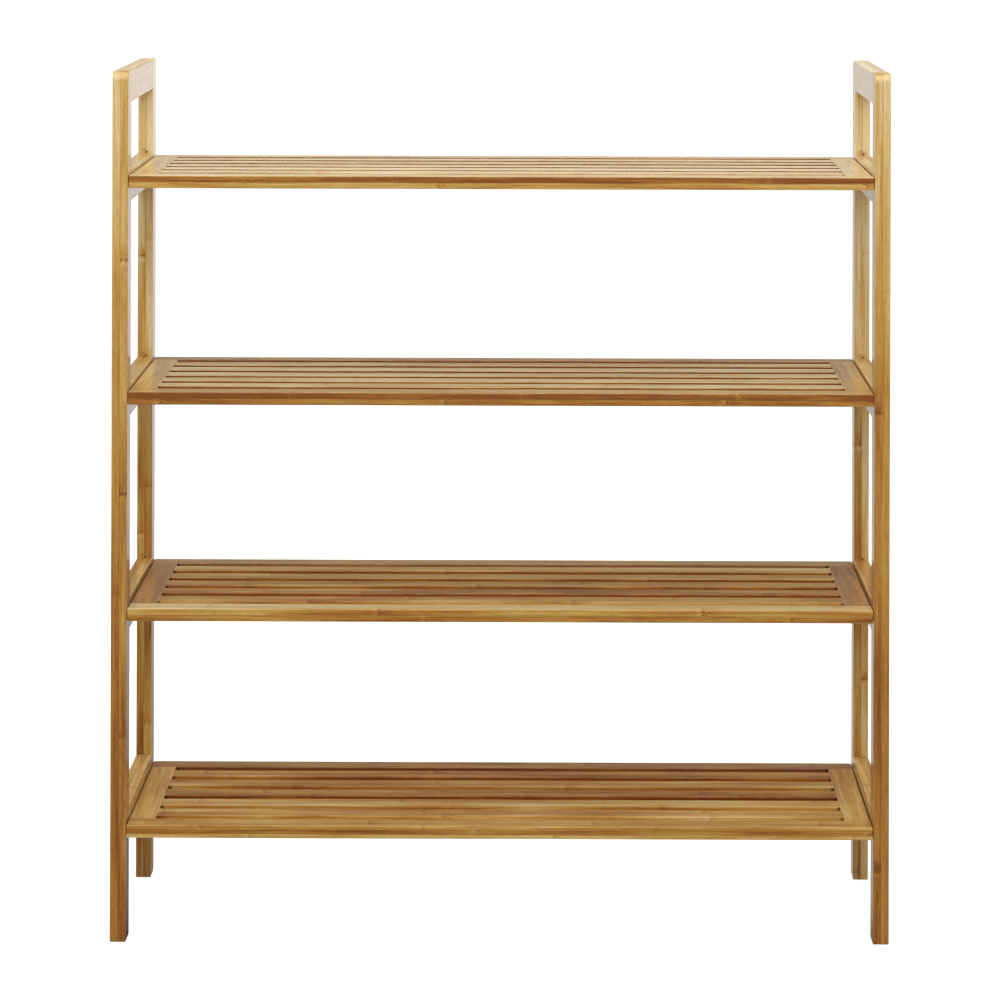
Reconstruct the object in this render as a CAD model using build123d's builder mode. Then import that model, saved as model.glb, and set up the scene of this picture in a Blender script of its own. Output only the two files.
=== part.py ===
from build123d import *
import os

# Four-tier free-standing shoe rack in laminated bamboo.
#
# Frame of reference, millimetres: the origin is on the floor in the middle of
# the footprint, +Z is up, -Y is the front of the rack and +X is the right-hand
# side seen from the front. Tier 1 is the top tier, tier 4 the bottom one.
#
# Two glued side frames (two posts, a top rail and four shelf rails each) carry
# four slatted shelves. A shelf is a front and a rear rail, two end boards
# tenoned between them, and five slats tenoned between the end boards. Four
# countersunk hex-socket screws per shelf go through the shelf rails of the side
# frames into the end boards.

# ---------------------------------------------------------------- dimensions
overall_w = 734.0          # outside of left frame to outside of right frame
overall_d = 270.0          # front of front posts to back of rear posts
overall_h = 820.0          # floor to top of the top rails

frame_t = 15.0             # thickness of posts and rails, along X
post_d = 30.0              # depth of a post, along Y
rail_h = 30.0              # height of every side-frame rail
corner_r = 8.0             # rounded outer top corners of the side frames
frame_edge_r = 0.8         # eased long edges of posts and rails
foot_edge_r = 0.8          # eased edges around the foot of a post

# tiers 1 to 4, from the top down
shelf_rail_top = [726.0, 522.0, 320.0, 123.0]   # tops of the side shelf rails
shelf_top = [722.0, 518.0, 314.0, 110.0]        # upper surface of each shelf

shelf_t = 12.0             # thickness of every shelf member
member_w = 27.0            # width of shelf rails and slats, along Y
slat_count = 5             # slats between the front and the rear rail
end_board_w = 24.5         # width of an end board, along X
end_gap = 0.7              # shelf end to inner face of the side frame
slat_edge_r = 0.9          # eased long edges of shelf members

tenon_l = 8.0              # tenons of slats and end boards
tenon_w = 17.0
tenon_t = 4.0
mortise_slack = 0.1        # all round a tenon
mortise_end = 0.8          # beyond the end of a tenon

dowel_d = 6.0              # side-frame dowels, two per joint
dowel_l = 32.0
dowel_chamfer = 0.8
dowel_pitch = 15.0
dowel_slack = 0.1          # on the radius
dowel_hole_l = 17.0

screw_y = 60.75            # shelf screws, fore and aft of the middle
screw_d = 4.8
screw_l = 36.0
screw_head_d = 9.0
screw_head_t = 2.4
screw_rim_t = 0.3          # straight rim of the head, before the cone
screw_tip_l = 3.0          # tapered end
screw_tip_r = 0.6          # radius of the flat at the very end
screw_sink = 0.4           # head face below the face of the rail
screw_hole_d = 5.2         # clearance hole through the shelf rail
screw_hole_extra = 1.0     # drilled beyond the thickness of the rail
screw_csk_d = 10.8
screw_csk_angle = 90
screw_pilot_l = 23.0
screw_pilot_slack = 0.1    # on the radius
hex_af = 3.0               # socket, across flats
hex_depth = 1.8

pin_hole_d = 2.4           # small pin holes in the top of shelf rails
pin_hole_depth = 2.0
pin_inset = 2.2            # centre of a pin hole to the post
pinned_tiers = (1, 2, 3)

face_tol = 0.01            # an edge this close to a face lies on it
mid_clear = 1.0            # an edge further than this from the middle plane
                           # of a post runs along one of its sides

# ------------------------------------------------------------------- derived
half_w = overall_w / 2
half_d = overall_d / 2
frame_x = half_w - frame_t / 2          # middle plane of a side frame
post_y = half_d - post_d / 2            # middle of a post
rail_l = overall_d - 2 * post_d         # rail between the posts
rail_tops = [overall_h] + shelf_rail_top
dowel_z = [top - rail_h / 2 + dz
           for top in rail_tops for dz in (-dowel_pitch / 2, dowel_pitch / 2)]
dowel_hole_r = dowel_d / 2 + dowel_slack
# heights between which the inner face of a post is free of rails
free_spans = list(zip([0.0] + sorted(shelf_rail_top),
                      sorted(top - rail_h for top in rail_tops)))

shelf_mid = [top - shelf_t / 2 for top in shelf_top]
shelf_l = overall_w - 2 * frame_t - 2 * end_gap
end_board_x = shelf_l / 2 - end_board_w / 2
end_board_l = overall_d - 2 * member_w
slat_l = shelf_l - 2 * end_board_w
slot_w = (overall_d - (slat_count + 2) * member_w) / (slat_count + 1)
slat_pitch = member_w + slot_w
slat_y = [(i - (slat_count - 1) / 2) * slat_pitch for i in range(slat_count)]
long_rail_y = half_d - member_w / 2

mortise_w = tenon_w + 2 * mortise_slack
mortise_t = tenon_t + 2 * mortise_slack
mortise_l = tenon_l + mortise_end
screw_head_x = half_w - screw_sink

# (sign along the axis, name)
sides = ((-1, "left"), (1, "right"))    # along X
ends = ((-1, "front"), (1, "rear"))     # along Y


def keep(part, name):
    """Label one finished piece and write it as one STEP file."""
    part.label = name
    export_step(part, f"parts/{name}.step")


# --------------------------------------------------------------- side frames
def make_post(side, end):
    """One post. side is -1 left, +1 right; end is -1 front, +1 rear."""
    x = side * frame_x
    inner_y = end * (half_d - post_d)
    with BuildPart() as post:
        with BuildSketch(Plane.XY):
            with Locations((x, end * post_y)):
                Rectangle(frame_t, post_d)
        extrude(amount=overall_h)
        # rounded outer top corner, seen in side view
        outer_top = (post.edges().filter_by(Axis.X).group_by(Axis.Z)[-1]
                     .sort_by(Axis.Y)[0 if end < 0 else -1])
        fillet(outer_top, radius=corner_r)
        # easing that runs up the outer face, over the corner and along the top
        run = [e for e in post.edges()
               if e.geom_type == GeomType.CIRCLE
               or (abs(e.center().X - x) > mid_clear
                   and (e.center().Z > overall_h - face_tol
                        or abs(e.center().Y) > half_d - face_tol))]
        fillet(run, radius=frame_edge_r)
        fillet(post.edges().group_by(Axis.Z)[0], radius=foot_edge_r)
        # easing of the inner vertical edges, stopped where a rail meets the post
        for z0, z1 in free_spans:
            with BuildSketch(Plane.XY.offset(z0)):
                for sx in (-1, 1):
                    with Locations((x + sx * (frame_t / 2 - frame_edge_r / 2),
                                    inner_y + end * frame_edge_r / 2)):
                        Rectangle(frame_edge_r, frame_edge_r)
                for sx in (-1, 1):
                    with Locations((x + sx * (frame_t / 2 - frame_edge_r),
                                    inner_y + end * frame_edge_r)):
                        Circle(frame_edge_r, mode=Mode.SUBTRACT)
            extrude(amount=z1 - z0, mode=Mode.SUBTRACT)
        # dowel holes for the five rails, drilled from the inner face;
        # the local Y of this plane is end * Z
        face = Plane(origin=(x, inner_y, 0), x_dir=(1, 0, 0), z_dir=(0, -end, 0))
        with BuildSketch(face):
            with Locations(*[(0, end * z) for z in dowel_z]):
                Circle(dowel_hole_r)
        extrude(amount=-dowel_hole_l, mode=Mode.SUBTRACT)
    return post.part


def make_side_rail(side, top, screw_z=None, pinned=False):
    """One rail of a side frame; screw_z is the height of its two shelf screws."""
    x = side * frame_x
    mid = top - rail_h / 2
    with BuildPart() as rail:
        with BuildSketch(Plane.XZ.offset(-rail_l / 2)):
            with Locations((x, mid)):
                Rectangle(frame_t, rail_h)
        extrude(amount=rail_l)
        fillet(rail.edges().filter_by(Axis.Y), radius=frame_edge_r)
        # dowel holes in both end faces
        for end in (-1, 1):
            face = Plane(origin=(x, end * rail_l / 2, mid), x_dir=(1, 0, 0),
                         z_dir=(0, end, 0))
            with BuildSketch(face):
                with GridLocations(dowel_pitch, dowel_pitch, 1, 2):
                    Circle(dowel_hole_r)
            extrude(amount=-dowel_hole_l, mode=Mode.SUBTRACT)
        # countersunk holes for the shelf screws, from the outer face
        if screw_z is not None:
            outer = Plane(origin=(side * half_w, 0, screw_z), x_dir=(0, 1, 0),
                          z_dir=(side, 0, 0))
            with Locations(outer):
                with Locations((-screw_y, 0), (screw_y, 0)):
                    CounterSinkHole(radius=screw_hole_d / 2,
                                    counter_sink_radius=screw_csk_d / 2,
                                    depth=frame_t + screw_hole_extra,
                                    counter_sink_angle=screw_csk_angle)
        # pin holes in the top face, close to the posts
        if pinned:
            pin_y = rail_l / 2 - pin_inset
            with BuildSketch(Plane.XY.offset(top)):
                with Locations((x, -pin_y), (x, pin_y)):
                    Circle(pin_hole_d / 2)
            extrude(amount=-pin_hole_depth, mode=Mode.SUBTRACT)
    return rail.part


def make_frame_dowels(side):
    """Two dowels in every joint between a rail and a post of one side frame."""
    with BuildPart() as dowels:
        for end in (-1, 1):
            # the local Y of this plane points down
            start = Plane(origin=(side * frame_x, end * rail_l / 2 - dowel_l / 2, 0),
                          x_dir=(1, 0, 0), z_dir=(0, 1, 0))
            with BuildSketch(start):
                with Locations(*[(0, -z) for z in dowel_z]):
                    Circle(dowel_d / 2)
            extrude(amount=dowel_l)
        chamfer(dowels.edges().filter_by(GeomType.CIRCLE), length=dowel_chamfer)
    return dowels.part


# -------------------------------------------------------------------- shelves
# z_mid is the height of the middle of the shelf thickness.
def make_long_rail(end, z_mid):
    """Front or rear rail, running the full length of the shelf."""
    with BuildPart() as long_rail:
        with BuildSketch(Plane.XY.offset(z_mid - shelf_t / 2)):
            with Locations((0, end * long_rail_y)):
                Rectangle(shelf_l, member_w)
        extrude(amount=shelf_t)
        fillet(long_rail.edges().filter_by(Axis.X), radius=slat_edge_r)
        # mortises for the tenons of the two end boards
        mouth = Plane(origin=(0, end * (half_d - member_w), z_mid),
                      x_dir=(1, 0, 0), z_dir=(0, -end, 0))
        with BuildSketch(mouth):
            with Locations((-end_board_x, 0), (end_board_x, 0)):
                Rectangle(mortise_w, mortise_t)
        extrude(amount=-mortise_l, mode=Mode.SUBTRACT)
    return long_rail.part


def make_end_board(side, z_mid):
    """End board, grain running front to back."""
    x_mid = side * end_board_x
    x_in = side * (shelf_l / 2 - end_board_w)
    x_out = side * shelf_l / 2
    with BuildPart() as end_board:
        with BuildSketch(Plane.XY.offset(z_mid - shelf_t / 2)):
            with Locations((x_mid, 0)):
                Rectangle(end_board_w, end_board_l)
        extrude(amount=shelf_t)
        fillet(end_board.edges().filter_by(Axis.Y), radius=slat_edge_r)
        # tenons at both ends
        for end in (-1, 1):
            shoulder = Plane(origin=(x_mid, end * end_board_l / 2, z_mid),
                             x_dir=(1, 0, 0), z_dir=(0, end, 0))
            with BuildSketch(shoulder):
                Rectangle(tenon_w, tenon_t)
            extrude(amount=tenon_l)
        # mortises for the slats
        mouth = Plane(origin=(x_in, 0, z_mid), x_dir=(0, 1, 0),
                      z_dir=(-side, 0, 0))
        with BuildSketch(mouth):
            with Locations(*[(y, 0) for y in slat_y]):
                Rectangle(mortise_w, mortise_t)
        extrude(amount=-mortise_l, mode=Mode.SUBTRACT)
        # pilot holes for the two shelf screws
        outer = Plane(origin=(x_out, 0, z_mid), x_dir=(0, 1, 0),
                      z_dir=(side, 0, 0))
        with BuildSketch(outer):
            with Locations((-screw_y, 0), (screw_y, 0)):
                Circle(screw_d / 2 + screw_pilot_slack)
        extrude(amount=-screw_pilot_l, mode=Mode.SUBTRACT)
    return end_board.part


def make_slat(y, z_mid):
    """Slat with a tenon at each end."""
    with BuildPart() as slat:
        with BuildSketch(Plane.XY.offset(z_mid - shelf_t / 2)):
            with Locations((0, y)):
                Rectangle(slat_l, member_w)
        extrude(amount=shelf_t)
        fillet(slat.edges().filter_by(Axis.X), radius=slat_edge_r)
        for side in (-1, 1):
            shoulder = Plane(origin=(side * slat_l / 2, y, z_mid),
                             x_dir=(0, 1, 0), z_dir=(side, 0, 0))
            with BuildSketch(shoulder):
                Rectangle(tenon_w, tenon_t)
            extrude(amount=tenon_l)
    return slat.part


def make_screws(z_mid):
    """Four countersunk hex-socket screws, two at each end of a shelf."""
    with BuildPart() as screws:
        for side in (-1, 1):
            for y in (-screw_y, screw_y):
                head = (side * screw_head_x, y, z_mid)
                # half profile: local X runs inward from the head, local Y is up
                plan = Plane(origin=head, x_dir=(-side, 0, 0), z_dir=(0, side, 0))
                with BuildSketch(plan):
                    with BuildLine():
                        Polyline((0, 0),
                                 (0, screw_head_d / 2),
                                 (screw_rim_t, screw_head_d / 2),
                                 (screw_head_t, screw_d / 2),
                                 (screw_l - screw_tip_l, screw_d / 2),
                                 (screw_l, screw_tip_r),
                                 (screw_l, 0),
                                 (0, 0))
                    make_face()
                revolve(axis=Axis(head, (1, 0, 0)), revolution_arc=360)
        for side in (-1, 1):
            socket = Plane(origin=(side * screw_head_x, 0, z_mid),
                           x_dir=(0, 1, 0), z_dir=(side, 0, 0))
            with BuildSketch(socket):
                with Locations((-screw_y, 0), (screw_y, 0)):
                    RegularPolygon(radius=hex_af / 2, side_count=6,
                                   major_radius=False)
            extrude(amount=-hex_depth, mode=Mode.SUBTRACT)
    return screws.part


# --------------------------------------------------------------------- pieces
os.makedirs("parts", exist_ok=True)

for side, side_name in sides:
    for end, end_name in ends:
        keep(make_post(side, end), f"{side_name}_{end_name}_post")
    keep(make_side_rail(side, overall_h), f"{side_name}_top_rail")
    for tier, (top, z_mid) in enumerate(zip(shelf_rail_top, shelf_mid), start=1):
        keep(make_side_rail(side, top, screw_z=z_mid, pinned=tier in pinned_tiers),
             f"{side_name}_shelf_rail_{tier}")
    keep(make_frame_dowels(side), f"{side_name}_frame_dowels")

for tier, z_mid in enumerate(shelf_mid, start=1):
    for end, end_name in ends:
        keep(make_long_rail(end, z_mid), f"shelf_{tier}_{end_name}_rail")
    for side, side_name in sides:
        keep(make_end_board(side, z_mid), f"shelf_{tier}_{side_name}_end_board")
    for number, y in enumerate(slat_y, start=1):
        keep(make_slat(y, z_mid), f"shelf_{tier}_slat_{number}")
    keep(make_screws(z_mid), f"shelf_{tier}_screws")
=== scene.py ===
import math
import random

import bpy
from mathutils import Matrix, Vector


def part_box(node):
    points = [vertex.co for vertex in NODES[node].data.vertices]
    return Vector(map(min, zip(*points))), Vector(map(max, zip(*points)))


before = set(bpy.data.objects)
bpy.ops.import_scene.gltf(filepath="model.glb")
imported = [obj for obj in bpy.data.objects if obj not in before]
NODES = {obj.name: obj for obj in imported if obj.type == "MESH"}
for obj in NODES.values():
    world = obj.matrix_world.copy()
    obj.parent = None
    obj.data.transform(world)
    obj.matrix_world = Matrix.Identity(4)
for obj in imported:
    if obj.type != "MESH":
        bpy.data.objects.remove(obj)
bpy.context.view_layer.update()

scene = bpy.context.scene


# ---------------------------------------------------------------- node helpers
class Tree:
    """Short calls for building a node tree; a value is a socket or a number."""

    def __init__(self, tree):
        self.tree = tree
        self.nodes = tree.nodes
        self.nodes.clear()

    def add(self, kind, **props):
        n = self.nodes.new(kind)
        for k, v in props.items():
            setattr(n, k, v)
        return n

    def put(self, socket, value):
        if isinstance(value, bpy.types.NodeSocket):
            self.tree.links.new(value, socket)
        elif value is not None:
            socket.default_value = value

    def math(self, op, a, b=None, c=None, clamp=False):
        n = self.add("ShaderNodeMath", operation=op, use_clamp=clamp)
        self.put(n.inputs[0], a)
        self.put(n.inputs[1], b)
        if c is not None:
            self.put(n.inputs[2], c)
        return n.outputs[0]

    def plus(self, *v):
        out = v[0]
        for x in v[1:]:
            out = self.math("ADD", out, x)
        return out

    def times(self, *v):
        out = v[0]
        for x in v[1:]:
            out = self.math("MULTIPLY", out, x)
        return out

    def minus(self, a, b):
        return self.math("SUBTRACT", a, b)

    def dot(self, a, b):
        n = self.add("ShaderNodeVectorMath", operation="DOT_PRODUCT")
        self.put(n.inputs[0], a)
        self.put(n.inputs[1], b)
        return n.outputs["Value"]

    def vec(self, x, y, z):
        n = self.add("ShaderNodeCombineXYZ")
        self.put(n.inputs[0], x)
        self.put(n.inputs[1], y)
        self.put(n.inputs[2], z)
        return n.outputs[0]

    def split(self, v):
        n = self.add("ShaderNodeSeparateXYZ")
        self.put(n.inputs[0], v)
        return n.outputs[0], n.outputs[1], n.outputs[2]

    def prop(self, name):
        n = self.add("ShaderNodeAttribute", attribute_type="OBJECT", attribute_name=name)
        return n.outputs["Vector"]

    def noise(self, v, scale=1.0, detail=2.0, rough=0.5, distort=0.0):
        n = self.add("ShaderNodeTexNoise", noise_dimensions="3D")
        self.put(n.inputs["Vector"], v)
        n.inputs["Scale"].default_value = scale
        n.inputs["Detail"].default_value = detail
        n.inputs["Roughness"].default_value = rough
        n.inputs["Distortion"].default_value = distort
        return n.outputs["Fac"]

    def white(self, v):
        n = self.add("ShaderNodeTexWhiteNoise", noise_dimensions="3D")
        self.put(n.inputs["Vector"], v)
        return n.outputs["Color"]

    def smooth(self, v, lo, hi, out_lo=0.0, out_hi=1.0):
        n = self.add("ShaderNodeMapRange", interpolation_type="SMOOTHSTEP")
        self.put(n.inputs["Value"], v)
        n.inputs["From Min"].default_value = lo
        n.inputs["From Max"].default_value = hi
        n.inputs["To Min"].default_value = out_lo
        n.inputs["To Max"].default_value = out_hi
        return n.outputs["Result"]

    def bell(self, d, width):
        """A bell curve of distance d with the given half width."""
        q = self.math("DIVIDE", d, width)
        return self.math("EXPONENT", self.times(self.times(q, q), -1.0))

    def mix(self, fac, a, b, kind="MIX"):
        n = self.add("ShaderNodeMix", data_type="RGBA", blend_type=kind)
        self.put(n.inputs[0], fac)
        self.put(n.inputs[6], a)
        self.put(n.inputs[7], b)
        return n.outputs[2]

    def ramp(self, fac, stops):
        n = self.add("ShaderNodeValToRGB")
        r = n.color_ramp
        while len(r.elements) < len(stops):
            r.elements.new(0.5)
        for e, (pos, col) in zip(r.elements, stops):
            e.position = pos
            e.color = (*col, 1.0)
        self.put(n.inputs[0], fac)
        return n.outputs[0]


def material(name):
    m = bpy.data.materials.new(name)
    m.use_nodes = True
    return m, Tree(m.node_tree)


# ------------------------------------------------------------------ materials
# Albedo of laminated bamboo by tone: palest straw (-0.2), straw (0), honey, burnt brown (1); the palest end
# carries the painted light on the upper decks and the right top rail.
BAMBOO = [
    (-0.20, (0.800, 0.640, 0.340)),
    (0.00, (0.710, 0.520, 0.235)),
    (0.25, (0.620, 0.392, 0.110)),
    (0.50, (0.495, 0.264, 0.046)),
    (0.75, (0.392, 0.158, 0.021)),
    (1.00, (0.245, 0.075, 0.009)),
]


def bamboo_material():
    """Edge-laminated, lacquered bamboo. Each board says through its own
    properties which way its grain, width and plies run, how its plies are
    toned and where the culm nodes cross them; all lengths are in mm."""
    m, t = material("laminated_bamboo")
    coord = t.add("ShaderNodeTexCoord").outputs["Object"]
    mm = t.add("ShaderNodeVectorMath", operation="SCALE")
    t.put(mm.inputs[0], coord)
    mm.inputs["Scale"].default_value = 1000.0
    p = mm.outputs[0]
    ox, oy, oz = t.split(t.prop("b_org"))
    ex, ey, ez = t.split(t.prop("b_ext"))
    nply, stripw, seed = t.split(t.prop("b_ply"))
    drift, flat, rugged = t.split(t.prop("b_drift"))
    wall_lo, wall_hi, tenon = t.split(t.prop("b_wall"))
    crev_at, crev_deep, crev_hi = t.split(t.prop("b_crev"))
    s_w, s_on, knot = t.split(t.prop("b_smear"))
    dot, mauve, _ = t.split(t.prop("b_marks"))
    geo = t.add("ShaderNodeNewGeometry")
    n_thk = t.math("ABSOLUTE", t.dot(geo.outputs["Normal"], t.prop("b_thk")))
    on_flat = t.smooth(n_thk, 0.5, 0.9)
    L = t.minus(t.dot(p, t.prop("b_len")), ox)
    W = t.minus(t.dot(p, t.prop("b_wid")), oy)
    T = t.minus(t.dot(p, t.prop("b_thk")), oz)

    # which ply and which strip of the board this point is in
    pt = t.math("DIVIDE", ez, nply)
    i_raw = t.math("FLOOR", t.math("DIVIDE", T, pt))
    i = t.math("MINIMUM", t.math("MAXIMUM", i_raw, 0.0), t.minus(nply, 1.0))
    pick = t.vec(t.math("COMPARE", i, 0.0, 0.5), t.math("COMPARE", i, 1.0, 0.5),
                 t.math("COMPARE", i, 2.0, 0.5))
    stray = t.noise(t.vec(t.times(L, 0.012), t.times(W, 0.05), seed), 1.0, 2.0, 0.5)
    Ts = t.plus(T, t.times(t.minus(stray, 0.5), 2.4))
    tone_0, tone_1, tone_2 = t.split(t.prop("b_tone"))
    over_1 = t.smooth(t.minus(Ts, pt), -0.7, 0.7)
    over_2 = t.smooth(t.minus(Ts, t.times(pt, 2.0)), -0.7, 0.7)
    ply_tone = t.plus(tone_0, t.times(over_1, t.minus(tone_1, tone_0)),
                      t.times(over_2, t.minus(tone_2, tone_1)))
    k_space = t.dot(pick, t.prop("b_kspace"))
    k_phase = t.dot(pick, t.prop("b_kphase"))
    k_power = t.dot(pick, t.prop("b_kpower"))
    strip_u = t.plus(t.math("DIVIDE", W, stripw), t.times(i, 0.37))
    j = t.math("FLOOR", strip_u)
    r1, r2, r3 = t.split(t.white(t.vec(t.plus(t.times(seed, 3.7), i),
                                       t.plus(t.times(j, 5.3), 0.5), seed)))
    inner = t.math("COMPARE", j, 0.0, 0.5)                 # 1 on the first strip
    other = t.minus(1.0, inner)

    # coordinates stretched along the grain, shifted for every strip
    si = t.plus(t.times(i, 37.1), t.times(j, 91.7), t.times(seed, 13.3))

    def along_grain(fl, fw, shift=1.0):
        s_ = t.times(si, shift)
        return t.vec(t.times(t.plus(L, t.times(s_, 7.0)), fl),
                     t.plus(t.times(W, fw), s_), t.plus(t.times(T, fw), s_))

    streak = t.noise(along_grain(0.010, 0.75), 1.0, 3.0, 0.55, 0.25)
    dash = t.noise(along_grain(0.075, 0.95, 1.7), 1.0, 2.0, 0.6, 0.4)
    broad = t.noise(along_grain(0.0065, 0.17), 1.0, 3.0, 0.5, 0.8)
    fibre = t.noise(along_grain(0.12, 1.9, 0.7), 1.0, 2.0, 0.65)
    fleck = t.noise(along_grain(0.42, 0.95, 2.3), 1.0, 1.0, 0.5)
    slow = t.noise(t.vec(t.times(L, 0.0065), si, t.times(seed, 1.7)), 1.0, 1.0, 0.5)
    mottle = t.noise(t.vec(t.times(L, 0.06), t.plus(t.times(W, 0.18), si),
                           t.times(T, 0.18)), 1.0, 3.0, 0.6)

    # culm nodes: a thin dark wavy line with a stained halo and a pale shoulder
    phase = t.plus(k_phase, t.times(other, r2, k_space))
    q = t.math("DIVIDE", t.minus(L, phase), k_space)
    k = t.math("ROUND", q)
    kr1, kr2, kr3 = t.split(t.white(t.vec(t.plus(k, si), seed, 3.0)))
    wav = t.noise(t.vec(t.plus(t.times(W, 0.30), si), t.times(T, 0.30), k), 1.0, 3.0, 0.6)
    d = t.plus(t.times(t.minus(q, k), k_space),
               t.times(t.minus(wav, 0.5), 7.0), t.times(t.minus(kr1, 0.5), 14.0))
    power = t.times(k_power, t.plus(0.5, t.times(kr2, 0.7)))
    patch = t.smooth(wav, 0.34, 0.60, 0.15, 1.0)
    core = t.times(t.bell(d, 1.1), power, patch)
    halo = t.times(t.bell(t.minus(d, 2.0), 7.5), power,
                   t.smooth(mottle, 0.36, 0.62, 0.15, 1.2))
    shoulder = t.times(t.bell(t.plus(d, 4.5), 2.6), power)
    grit = t.noise(t.vec(t.plus(t.times(L, 0.62), si), t.times(W, 0.62), t.times(T, 0.62)),
                   1.0, 1.0, 0.5)
    knuckle = t.times(t.bell(d, 5.5), k_power, t.minus(1.0, on_flat))
    pit = t.times(t.bell(d, 4.0), k_power, t.smooth(grit, 0.50, 0.60), t.minus(1.0, on_flat))

    # painted light from above: along the grain the tone moves by drift, so the uprights come out paler towards
    # their tops
    painted_light_ramp = t.minus(t.smooth(t.math("DIVIDE", L, ex), 0.20, 0.97), 0.5)
    coarse = t.plus(1.0, rugged)
    tone = t.plus(ply_tone, t.times(drift, painted_light_ramp), t.times(flat, on_flat),
                  t.times(t.minus(r1, 0.5), other, 0.16),
                  t.times(t.minus(streak, 0.5), t.plus(0.46, t.times(knot, 0.22))),
                  t.times(t.minus(dash, 0.5), 0.42),
                  t.times(t.minus(broad, 0.5), coarse, 0.75),
                  t.times(t.minus(slow, 0.5), coarse, 0.45),
                  t.times(halo, 0.20), t.times(core, 0.30),
                  t.times(shoulder, -0.14), t.times(knuckle, knot, -0.30),
                  t.times(pit, knot, 1.10))

    # slot walls and crevices: painted shade darkens the slot walls, the slot ends and the crevices where a
    # shelf butts on a rail, and these places are left mostly unlacquered
    low_w = t.math("LESS_THAN", W, t.times(ey, 0.5))
    wall_shade = t.times(t.smooth(n_thk, 0.80, 0.98, 1.0, 0.0),
                   t.plus(t.times(wall_lo, low_w), t.times(wall_hi, t.minus(1.0, low_w))))
    to_end = t.minus(t.math("MINIMUM", L, t.minus(ex, L)), tenon)
    slot_end_shade = t.times(t.math("GREATER_THAN", wall_shade, 0.05), t.smooth(to_end, 1.6, 4.4, 1.0, 0.0),
                     t.math("GREATER_THAN", to_end, -0.5))
    low_t = t.math("LESS_THAN", T, t.times(ez, 0.5))
    near = t.plus(t.times(crev_hi, t.minus(1.0, low_t)), t.times(t.minus(1.0, crev_hi), low_t))
    below = t.minus(crev_at, W)
    crevice_shade = t.times(near, t.smooth(below, -0.2, 0.6),
                      t.math("GREATER_THAN", crev_deep, 0.0),
                      t.math("LESS_THAN", below, crev_deep), on_flat)
    # painted shade on the slot walls: a darker tone here, and below a darker, browner colour
    tone = t.plus(tone, t.times(t.math("MINIMUM", wall_shade, 1.6), 0.18))
    lo = BAMBOO[0][0]
    colour = t.ramp(t.math("DIVIDE", t.minus(tone, lo), 1.0 - lo),
                    [((at - lo) / (1.0 - lo), c) for at, c in BAMBOO])
    # painted shade tint: a greyed pink cast on some rear rails and end boards
    colour = t.mix(mauve, colour, (0.30, 0.205, 0.130, 1.0))
    fib_gain = t.plus(0.68, t.times(fibre, 0.34), t.times(fleck, 0.30))
    colour = t.mix(1.0, colour, t.vec(fib_gain, fib_gain, fib_gain), "MULTIPLY")
    colour = t.mix(1.0, colour, t.vec(t.math("EXPONENT", t.times(wall_shade, -0.15)),
                                      t.math("EXPONENT", t.times(wall_shade, -0.23)),
                                      t.math("EXPONENT", t.times(wall_shade, -0.33))), "MULTIPLY")
    # painted shade: near-black dots at the slot ends
    colour = t.mix(t.times(slot_end_shade, dot), colour, (0.030, 0.011, 0.003, 1.0))
    # painted shade in the crevices below the decks
    colour = t.mix(t.times(crevice_shade, 0.55), colour, (0.150, 0.060, 0.016, 1.0))

    # a dark spot and an orange-brown smear on the post, just above where each rail meets it
    s_1, s_2, s_3 = t.split(t.prop("b_smear_at"))
    on_face = t.times(s_on, t.math("LESS_THAN", t.math("ABSOLUTE", t.minus(W, s_w)), 0.6))
    smear, spot = 0.0, 0.0
    for at in (s_1, s_2, s_3):
        dl = t.minus(t.plus(L, t.times(t.minus(mottle, 0.5), 5.0)), t.plus(at, 1.0))
        across_ply = t.minus(T, t.times(ez, 0.5))
        smear = t.plus(smear, t.times(t.bell(dl, 3.0), t.bell(across_ply, 4.2)))
        spot = t.plus(spot, t.times(1.5, t.bell(t.minus(L, t.plus(at, 1.2)), 0.75),
                                    t.bell(t.minus(across_ply, 0.8), 1.0)),
                      t.times(0.8, t.bell(t.minus(L, t.plus(at, 3.6)), 0.7),
                              t.bell(t.plus(across_ply, 1.9), 0.9)))
    smear = t.times(smear, on_face)
    spot = t.times(t.math("MINIMUM", spot, 1.0), on_face)
    colour = t.mix(t.times(smear, 0.70), colour, (0.52, 0.220, 0.025, 1.0))
    colour = t.mix(t.times(spot, 0.95), colour, (0.030, 0.012, 0.004, 1.0))

    # glue lines between plies and between strips
    ply_d = t.times(t.math("ABSOLUTE", t.minus(t.math("DIVIDE", T, pt), t.math(
        "ROUND", t.math("DIVIDE", T, pt)))), pt)
    inside_t = t.smooth(t.math("MINIMUM", T, t.minus(ez, T)), 0.4, 1.0)
    strip_d = t.times(t.math("ABSOLUTE", t.minus(strip_u, t.math("ROUND", strip_u))), stripw)
    inside_w = t.smooth(t.math("MINIMUM", W, t.minus(ey, W)), 0.4, 1.0)
    glue = t.math("MAXIMUM",
                  t.times(t.smooth(ply_d, 0.10, 0.35, 1.0, 0.0), inside_t),
                  t.times(t.smooth(strip_d, 0.08, 0.30, 0.8, 0.0), inside_w))
    colour = t.mix(t.times(glue, 0.45), colour, (0.17, 0.075, 0.025, 1.0))

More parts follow.
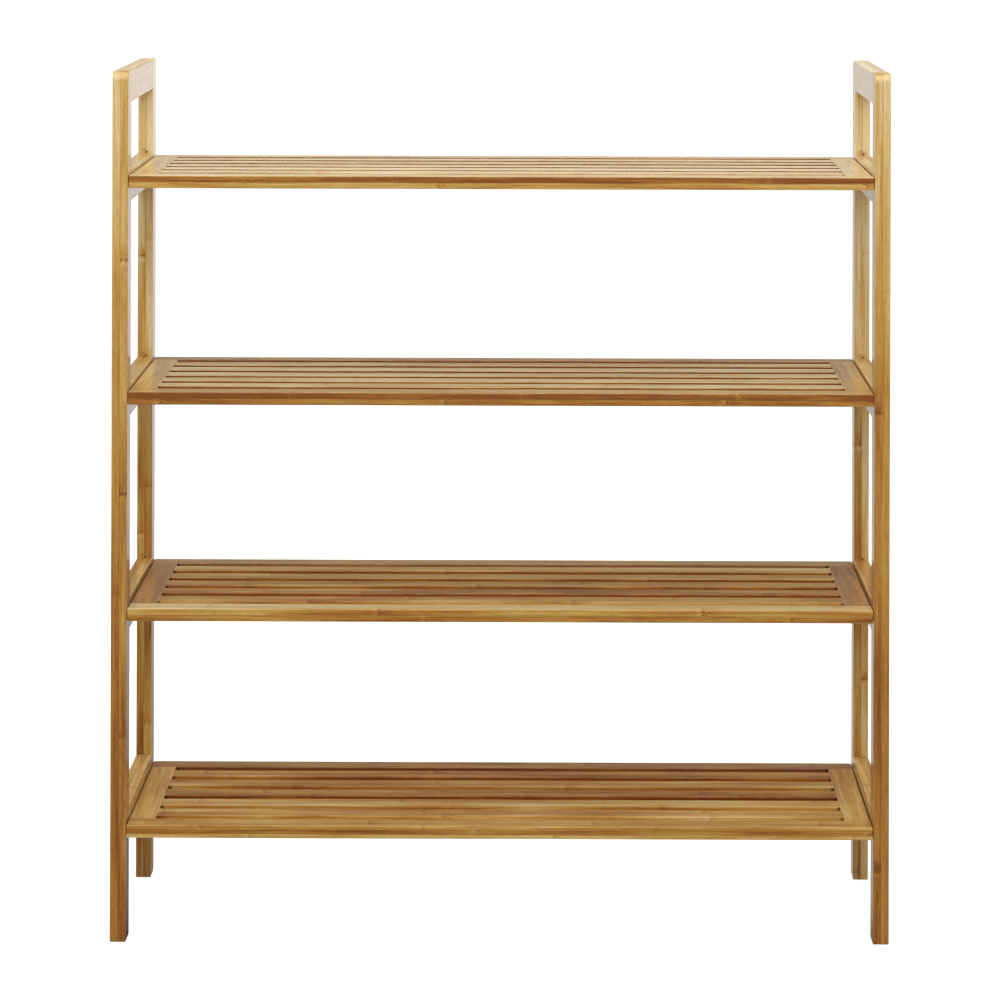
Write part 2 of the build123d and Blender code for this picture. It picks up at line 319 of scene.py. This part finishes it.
    # end grain: darker, peppered with the cut ends of the vascular bundles
    facing = t.math("ABSOLUTE", t.dot(geo.outputs["Normal"], t.prop("b_len")))
    end = t.smooth(facing, 0.72, 0.97)
    vor = t.add("ShaderNodeTexVoronoi", voronoi_dimensions="3D", feature="F1")
    t.put(vor.inputs["Vector"], t.vec(t.plus(t.times(W, 1.15), si), t.times(T, 1.15), seed))
    vor.inputs["Scale"].default_value = 1.0
    bundle = t.smooth(vor.outputs["Distance"], 0.20, 0.36, 1.0, 0.0)
    end_tint = t.mix(t.times(bundle, 0.65), (0.80, 0.74, 0.66, 1.0), (0.36, 0.24, 0.15, 1.0))
    colour = t.mix(end, colour, t.mix(1.0, colour, end_tint, "MULTIPLY"))

    # eased long edges: lacquer rubbed a little thinner and paler
    dw = t.math("MINIMUM", W, t.minus(ey, W))
    dt = t.math("MINIMUM", T, t.minus(ez, T))
    edge = t.smooth(t.math("MAXIMUM", dw, dt), 0.35, 1.5, 1.0, 0.0)
    worn = t.times(edge, t.smooth(mottle, 0.35, 0.65, 0.25, 1.0))
    colour = t.mix(t.times(worn, 0.16), colour, (0.74, 0.57, 0.33, 1.0))

    rough = t.plus(0.42, t.times(t.minus(mottle, 0.5), 0.16), t.times(fibre, 0.06),
                   t.times(worn, 0.10), t.times(end, 0.16), t.times(core, 0.08))
    bump_h = t.plus(t.times(fibre, 0.35), t.times(streak, 0.5), t.times(core, 0.9),
                    t.times(glue, -0.8), t.times(bundle, end, -0.8))
    bump = t.add("ShaderNodeBump")
    bump.inputs["Strength"].default_value = 0.22
    bump.inputs["Distance"].default_value = 0.0002
    t.put(bump.inputs["Height"], bump_h)

    bsdf = t.add("ShaderNodeBsdfPrincipled")
    t.put(bsdf.inputs["Base Color"], colour)
    t.put(bsdf.inputs["Roughness"], rough)
    bsdf.inputs["IOR"].default_value = 1.35
    bare = t.math("MAXIMUM", t.math("MINIMUM", wall_shade, 1.0), t.math("MAXIMUM", crevice_shade, t.times(end, 0.6)))
    t.put(bsdf.inputs["Specular IOR Level"], t.minus(0.5, t.times(bare, 0.4)))
    t.put(bsdf.inputs["Coat Weight"], t.times(t.minus(1.0, t.times(bare, 0.85)),
                                              t.minus(1.0, t.times(edge, 0.5))))
    t.put(bsdf.inputs["Specular IOR Level"], t.minus(0.5, t.times(bare, 0.35)))
    t.put(bsdf.inputs["Coat Roughness"], t.plus(0.13, t.times(mottle, 0.08), t.times(worn, 0.15)))
    bsdf.inputs["Coat IOR"].default_value = 1.5
    t.put(bsdf.inputs["Normal"], bump.outputs[0])
    peel = t.add("ShaderNodeBump")
    peel.inputs["Strength"].default_value = 0.08
    peel.inputs["Distance"].default_value = 0.0002
    t.put(peel.inputs["Height"], bump_h)
    t.put(bsdf.inputs["Coat Normal"], peel.outputs[0])
    out = t.add("ShaderNodeOutputMaterial")
    t.put(out.inputs["Surface"], bsdf.outputs[0])
    return m


def steel_material():
    """Zinc-plated screw steel, faintly turned and scuffed."""
    m, t = material("zinc_plated_steel")
    p = t.add("ShaderNodeTexCoord").outputs["Object"]
    n1 = t.noise(p, 900.0, 3.0, 0.6)
    n2 = t.noise(p, 160.0, 2.0, 0.5)
    colour = t.ramp(n2, [(0.2, (0.40, 0.39, 0.38)), (0.6, (0.56, 0.55, 0.53)),
                         (0.9, (0.64, 0.62, 0.57))])
    bump = t.add("ShaderNodeBump")
    bump.inputs["Strength"].default_value = 0.15
    bump.inputs["Distance"].default_value = 0.0001
    t.put(bump.inputs["Height"], n1)
    b = t.add("ShaderNodeBsdfPrincipled")
    t.put(b.inputs["Base Color"], colour)
    b.inputs["Metallic"].default_value = 0.55
    t.put(b.inputs["Roughness"], t.plus(0.28, t.times(n1, 0.18)))
    t.put(b.inputs["Normal"], bump.outputs[0])
    out = t.add("ShaderNodeOutputMaterial")
    t.put(out.inputs["Surface"], b.outputs[0])
    return m


def dowel_material():
    """Plain turned beech for the hidden dowels, grain front to back."""
    m, t = material("dowel_beech")
    p = t.add("ShaderNodeTexCoord").outputs["Object"]
    x, y, z = t.split(p)
    v = t.vec(t.times(x, 900.0), t.times(y, 40.0), t.times(z, 900.0))
    n = t.noise(v, 1.0, 3.0, 0.55)
    colour = t.ramp(n, [(0.25, (0.62, 0.42, 0.22)), (0.55, (0.72, 0.53, 0.31)),
                        (0.85, (0.80, 0.63, 0.40))])
    bump = t.add("ShaderNodeBump")
    bump.inputs["Strength"].default_value = 0.2
    bump.inputs["Distance"].default_value = 0.0001
    t.put(bump.inputs["Height"], n)
    b = t.add("ShaderNodeBsdfPrincipled")
    t.put(b.inputs["Base Color"], colour)
    t.put(b.inputs["Roughness"], t.plus(0.55, t.times(n, 0.15)))
    t.put(b.inputs["Normal"], bump.outputs[0])
    out = t.add("ShaderNodeOutputMaterial")
    t.put(out.inputs["Surface"], b.outputs[0])
    return m


# --------------------------------------------------------------------- boards
AXES = {"x": (1.0, 0.0, 0.0), "y": (0.0, 1.0, 0.0), "z": (0.0, 0.0, 1.0)}
rng = random.Random(41)


def dress(name, along, across, through, tones, flat=0.0, drift=0.0, strip=18.0,
          knots=None, power=(0.5, 1.0), rugged=0.0, wall_shade=(0.0, 0.0), tenon=0.0,
          crevice_shade=None, smear=None, knot=0.0, dot=0.0, mauve=0.0):
    """Give a board its grain directions, ply tones and culm-node spacing.

    tones run from the low to the high side of the through axis; flat is
    added to the tone on the faces across that axis, drift along the grain
    (on the uprights a painted light gradient), rugged widens the slow
    variation. knots is (phase, spacing, power) for each ply, in mm from the
    low end; the power may be left to chance. wall marks the low and high
    across sides that face a slot and how strongly painted shade darkens them,
    crevice is (level, depth, 1 for the high through side) of the painted shade
    where a shelf butts on, smear is (across side, three heights) of the dark
    marks, knot how open and pitted the culm nodes are on the narrow sides,
    dot how dark the painted shade at the slot ends is, mauve how far the
    board leans to a greyed pink, a painted shade tint."""
    o = NODES[name]
    lo, hi = (Vector(v) * 1000.0 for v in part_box(name))
    pos = {"x": 0, "y": 1, "z": 2}
    a, b, c = pos[along], pos[across], pos[through]
    o["b_len"], o["b_wid"], o["b_thk"] = (list(AXES[k]) for k in (along, across, through))
    o["b_org"] = [lo[a], lo[b], lo[c]]
    o["b_ext"] = [hi[a] - lo[a], hi[b] - lo[b], hi[c] - lo[c]]
    tones = [float(v) for v in tones]
    o["b_ply"] = [float(len(tones)), float(strip), round(rng.uniform(1.0, 60.0), 3)]
    o["b_tone"] = (tones + [tones[-1]] * 2)[:3]
    o["b_drift"] = [float(drift), float(flat), float(rugged)]
    o["b_wall"] = [float(wall_shade[0]), float(wall_shade[1]), float(tenon)]
    o["b_crev"] = [float(v) for v in (crevice_shade or (0.0, 0.0, 0.0))]
    at, levels = smear or (0.0, (0.0, 0.0, 0.0))
    o["b_smear"] = [float(at), 1.0 if smear else 0.0, float(knot)]
    o["b_smear_at"] = [float(v) for v in levels]
    o["b_marks"] = [float(dot), float(mauve), 0.0]
    spread = [(rng.uniform(0.0, 210.0), rng.uniform(195.0, 265.0), rng.uniform(*power))
              for _ in range(3)]
    for i, given in enumerate(knots or []):
        spread[i] = tuple(given) + spread[i][len(given):]
    for key, values in zip(("b_kphase", "b_kspace", "b_kpower"), zip(*spread)):
        o[key] = [float(v) for v in values]
    o.data.materials.clear()
    o.data.materials.append(BAMBOO_MAT)


BAMBOO_MAT = bamboo_material()
STEEL_MAT = steel_material()
DOWEL_MAT = dowel_material()

# uprights, plies from left to right, paler towards the top: the drift along the grain is painted light from
# above
DECKS = (726.0, 522.0, 320.0)
dress("left_front_post", "z", "y", "x", [0.49, 0.53], drift=-0.60,
      knots=[(85, 240, 0.3), (192, 226, 1.5)], rugged=0.3, smear=(30.0, DECKS))
dress("right_front_post", "z", "y", "x", [0.53, 0.44], drift=-0.48,
      knots=[(495, 430, 1.5), (140, 236, 0.3)], rugged=0.3, smear=(30.0, DECKS))
# the rear posts' paler plies are painted light, offsetting the shade the shelves cast on them
dress("left_rear_post", "z", "y", "x", [0.33, 0.16], drift=-0.62,
      knots=[(62, 280, 1.6), (150, 245, 0.6)], rugged=0.9, smear=(0.0, DECKS))
dress("right_rear_post", "z", "y", "x", [0.28, 0.14], drift=-0.58,
      knots=[(439, 430, 1.3), (627, 430, 1.3)], rugged=0.9, smear=(0.0, DECKS))
# top rails; the right rail's palest inner ply is a painted reflection, for the pale sheen its inner face shows
dress("left_top_rail", "y", "z", "x", [0.36, 0.22])
dress("right_top_rail", "y", "z", "x", [-0.14, 0.18])
RAILS = [((0.34, 0.16), (0.14, 0.34), 26.0), ((0.40, 0.24), (0.26, 0.42), 26.0),
         ((0.52, 0.40), (0.44, 0.54), 24.0), ((0.44, 0.34), (0.36, 0.46), 17.0)]
# each rail gets painted shade in the crevices under its deck
for n, (left, right, deck) in enumerate(RAILS, start=1):
    dress(f"left_shelf_rail_{n}", "y", "z", "x", left, rugged=0.4, crevice_shade=(deck, 12.0, 1.0))
    dress(f"right_shelf_rail_{n}", "y", "z", "x", right, rugged=0.4, crevice_shade=(deck, 12.0, 0.0))

# shelves from the top down: edge plies of the front rail from below, tone of
# its face, faces of the slats from the front, rear rail, left and right ends,
# and how strongly painted shade darkens the front walls of the slats and the
# rear rail. The very pale slat faces of the two upper shelves are part board
# colour and part painted light, for the stronger light from above and the
# sheen on the upper decks.
END_W = 24.5
SHELVES = [
    ([0.42, 0.95], 0.12, [0.00, -0.20, 0.04, 0.24, 0.18], 0.26, 0.42, 0.14,
     [0.5, 1.6, 3.0, 4.2, 4.0, 5.2]),
    ([0.71, 1.00], 0.44, [0.12, 0.03, 0.02, -0.05, 0.19], 0.66, 0.28, 0.46,
     [1.6, 1.4, 1.5, 1.7, 2.0, 2.2]),
    ([0.76, 0.57], 0.13, [0.55, 0.66, 0.56, 0.47, 0.36], 0.46, 0.72, 0.74,
     [0.4, 1.5, 0.95, 1.1, 0.95, 0.8]),
    ([0.30, 0.74, 0.50], 0.42, [0.54, 0.29, 0.79, 0.51, 0.64], 0.65, 0.41, 0.40,
     [0.3, 0.4, 2.6, 0.8, 1.0, 2.6]),
]
# painted shade at the slot ends, strength by shelf
SLOT_END_SHADES = (0.35, 0.70, 0.85, 0.80)
KNOTS = [[(300, 402), (251, 350)], [(26, 268), (154, 215)], [(290, 330), (238, 300)],
         [(120, 280), (330, 366)]]
for n, (edge, face, slats, rear, left, right, walls) in enumerate(SHELVES, start=1):
    dark = SLOT_END_SHADES[n - 1]
    dress(f"shelf_{n}_front_rail", "x", "y", "z", edge, flat=face - edge[-1], rugged=0.6,
          knots=KNOTS[n - 1], power=(0.8, 1.0), wall_shade=(0, 1), tenon=END_W,
          knot=(0.6, 1.0, 0.8, 0.6)[n - 1], dot=dark)
    dress(f"shelf_{n}_rear_rail", "x", "y", "z", [0.6, 0.74], flat=rear - 0.74,
          power=(0.6, 0.9), rugged=1.0, wall_shade=(walls[5], 0), tenon=END_W, dot=dark,
          mauve=(0.0, 0.0, 0.35, 0.25)[n - 1])
    for side, tone in (("left", left), ("right", right)):
        dress(f"shelf_{n}_{side}_end_board", "y", "x", "z", [0.6, 0.7], flat=tone - 0.7,
              power=(0.15, 0.4), rugged=0.6, strip=60.0, wall_shade=(1, 1), tenon=-9.0,
              mauve=(0.0, 0.05, 0.32, 0.0)[n - 1])
    for k, tone in enumerate(slats, start=1):
        # darker edge plies go with the stronger painted shade on the slot walls
        side = [0.34, 0.46] if walls[k - 1] < 0.9 else [0.55, 0.76]
        dress(f"shelf_{n}_slat_{k}", "x", "y", "z", side, flat=tone - side[-1],
              power=(0.6, 1.0), rugged=1.1, wall_shade=(walls[k - 1], 1), tenon=8.0,
              dot=dark * rng.uniform(0.6, 1.0))

for name, o in NODES.items():
    if name.endswith("_screws"):
        o.data.materials.clear()
        o.data.materials.append(STEEL_MAT)
    elif name.endswith("_dowels"):
        o.data.materials.clear()
        o.data.materials.append(DOWEL_MAT)


# ---------------------------------------------------------------- stage, light
FLOOR_SEEN = (0.42, 0.785)     # albedo and glow the camera sees
FLOOR_BOUNCE = 0.35            # albedo for diffuse bounce
FLOOR_SHEEN = (0.06, 0.44, 0.21, 0.22)  # glow the lacquer mirrors: in front, at the feet, behind, far
DOME = (0.48, 0.40, 0.24)      # everywhere, overhead, behind
BAND_GAIN, BAND_EDGE = 0.90, (0.05, 0.145)   # glow at the horizon, and where it fades
AMBIENT_MIRROR = 0.05          # glow mirrored from everywhere else


def floor():
    me = bpy.data.meshes.new("floor")
    s = 60.0
    me.from_pydata([(-s, -s, 0), (s, -s, 0), (s, s, 0), (-s, s, 0)], [], [(0, 1, 2, 3)])
    o = bpy.data.objects.new("floor", me)
    scene.collection.objects.link(o)
    m, t = material("pale_floor")
    path = t.add("ShaderNodeLightPath")
    x, y, _ = t.split(t.add("ShaderNodeNewGeometry").outputs["Position"])
    behind = t.math("MAXIMUM", y, 0.0)
    near = t.minus(1.0, t.math("EXPONENT", t.math("DIVIDE", behind, -1.5)))
    far = t.minus(1.0, t.math("EXPONENT", t.math("DIVIDE", behind, -12.0)))
    sheen = t.plus(FLOOR_SHEEN[0], t.times(t.smooth(y, -0.20, 0.08), FLOOR_SHEEN[1]),
                   t.times(near, FLOOR_SHEEN[2]), t.times(far, FLOOR_SHEEN[3]))
    beyond = t.smooth(y, 3.8, 5.2)
    sheen = t.times(sheen, t.plus(t.times(t.smooth(x, -0.36, 0.02, 0.36, 1.0), t.minus(1.0, beyond)),
                                  t.times(t.smooth(x, -0.3, 0.5, 0.67, 1.03), beyond)))
    tint = t.mix(t.smooth(y, 0.3, 2.5), (1.0, 0.955, 0.87, 1.0), (1.0, 1.0, 1.0, 1.0))

    def shade(albedo, glow, colour=None):
        d = t.add("ShaderNodeBsdfDiffuse")
        d.inputs["Color"].default_value = (albedo, albedo, albedo, 1.0)
        e = t.add("ShaderNodeEmission")
        t.put(e.inputs["Strength"], glow)
        t.put(e.inputs["Color"], colour)
        both = t.add("ShaderNodeAddShader")
        t.put(both.inputs[0], d.outputs[0])
        t.put(both.inputs[1], e.outputs[0])
        return both.outputs[0]

    def pick(fac, a, b):
        mix = t.add("ShaderNodeMixShader")
        t.put(mix.inputs[0], fac)
        t.put(mix.inputs[1], a)
        t.put(mix.inputs[2], b)
        return mix.outputs[0]

    soft = pick(path.outputs["Is Glossy Ray"], shade(FLOOR_BOUNCE, 0.0), shade(0.0, sheen, tint))
    out = t.add("ShaderNodeOutputMaterial")
    t.put(out.inputs["Surface"], pick(path.outputs["Is Camera Ray"], soft,
                                      shade(FLOOR_SEEN[0], FLOOR_SEEN[1])))
    me.materials.append(m)
    return o


def studio_world():
    """White studio. The camera sees plain white; lacquer mirrors a bright
    band at the horizon that falls off upwards; everything is filled by a
    soft dome."""
    w = bpy.data.worlds.new("studio")
    scene.world = w
    w.use_nodes = True
    t = Tree(w.node_tree)
    x, y, z = t.split(t.add("ShaderNodeTexCoord").outputs["Generated"])
    path = t.add("ShaderNodeLightPath")
    up = t.smooth(z, 0.0, 1.0)
    back = t.smooth(y, -0.6, 0.6)
    dome = t.plus(DOME[0], t.times(up, DOME[1]), t.times(back, DOME[2]))
    band = t.smooth(z, BAND_EDGE[0], BAND_EDGE[1], BAND_GAIN, 0.0)
    mirror = t.plus(t.times(band, t.smooth(y, -0.3, 0.5, 0.1, 1.0)), AMBIENT_MIRROR)
    g = path.outputs["Is Glossy Ray"]
    c = path.outputs["Is Camera Ray"]
    other = t.plus(t.times(mirror, g), t.times(dome, t.minus(1.0, g)))
    strength = t.plus(t.times(other, t.minus(1.0, c)), t.times(c, 1.05))
    bg = t.add("ShaderNodeBackground")
    t.put(bg.inputs["Color"], t.mix(g, (1.0, 1.0, 1.0, 1.0), (1.0, 0.975, 0.845, 1.0)))
    t.put(bg.inputs["Strength"], strength)
    out = t.add("ShaderNodeOutputWorld")
    t.put(out.inputs["Surface"], bg.outputs[0])


def softbox(name, loc, aim, size, power, matte=False):
    d = bpy.data.lights.new(name, "AREA")
    d.shape = "RECTANGLE"
    d.size, d.size_y = size
    d.energy = power
    o = bpy.data.objects.new(name, d)
    o.location = loc
    o.rotation_euler = (Vector(aim) - Vector(loc)).to_track_quat("-Z", "Y").to_euler()
    o.visible_camera = False
    o.visible_glossy = not matte
    scene.collection.objects.link(o)
    return o


floor()
studio_world()
softbox("softbox_front", (0.0, -3.2, 1.75), (0.0, 0.0, 0.45), (3.0, 1.2), 16.0)
softbox("softbox_over", (0.0, -1.0, 2.0), (0.0, 0.0, 0.7), (2.2, 0.8), 10.0)
softbox("fill_front", (0.0, -3.2, 2.3), (0.0, 0.0, 0.40), (3.0, 1.4), 26.0, matte=True)
softbox("fill_over", (0.0, 0.0, 2.1), (0.0, 0.0, 0.8), (1.4, 0.7), 5.0, matte=True)
softbox("fill_back", (0.0, 2.8, 1.9), (0.0, 0.0, 0.40), (3.0, 1.4), 80.0, matte=True)


# --------------------------------------------------------------------- camera
# A view camera: level, with its lens shifted down, so that uprights stay
# parallel. The shift works only where the camera stands here; at any other
# place the camera is an ordinary one.
CAM_AT = Vector((0.038516, -3.877266, 1.013278))
F_PX, YAW, PITCH, ROLL = 3969.47, -0.001790, -0.003355, 0.003069
AXIS_RIGHT, AXIS_UP = 34.23, 645.70      # lens axis from the picture's centre, px


def photo_camera():
    fwd0 = Vector((math.sin(YAW), math.cos(YAW), 0.0))
    right0 = Vector((math.cos(YAW), -math.sin(YAW), 0.0))
    up0 = Vector((0.0, 0.0, 1.0))
    fwd = math.cos(PITCH) * fwd0 - math.sin(PITCH) * up0
    up1 = math.sin(PITCH) * fwd0 + math.cos(PITCH) * up0
    right = math.cos(ROLL) * right0 + math.sin(ROLL) * up1
    up = -math.sin(ROLL) * right0 + math.cos(ROLL) * up1
    m = Matrix((right, up, -fwd)).transposed().to_4x4()
    m.translation = CAM_AT
    data = bpy.data.cameras.new("camera")
    data.sensor_fit = "HORIZONTAL"
    data.sensor_width = 36.0
    data.lens = F_PX / 1000.0 * 36.0
    data.clip_start, data.clip_end = 0.1, 300.0
    cam = bpy.data.objects.new("camera", data)
    scene.collection.objects.link(cam)
    cam.matrix_world = m
    scene.camera = cam
    c, s = math.cos(ROLL), math.sin(ROLL)
    sx = -(c * AXIS_RIGHT + s * AXIS_UP) / 1000.0
    sy = -(c * AXIS_UP - s * AXIS_RIGHT) / 1000.0
    for path, value in (("shift_x", sx), ("shift_y", sy)):
        drv = data.driver_add(path).driver
        drv.type = "SCRIPTED"
        for var, ch in (("x", "LOC_X"), ("y", "LOC_Y"), ("z", "LOC_Z")):
            v = drv.variables.new()
            v.name = var
            v.type = "TRANSFORMS"
            v.targets[0].id = cam
            v.targets[0].transform_type = ch
            v.targets[0].transform_space = "WORLD_SPACE"
        drv.expression = (f"{value:.6f} if abs(x - {CAM_AT.x:.6f}) + "
                          f"abs(y + {-CAM_AT.y:.6f}) + abs(z - {CAM_AT.z:.6f}) < 0.01 else 0.0")
    return cam


photo_camera()
scene.view_settings.view_transform = "Standard"
scene.view_settings.look = "None"

bpy.context.view_layer.update()
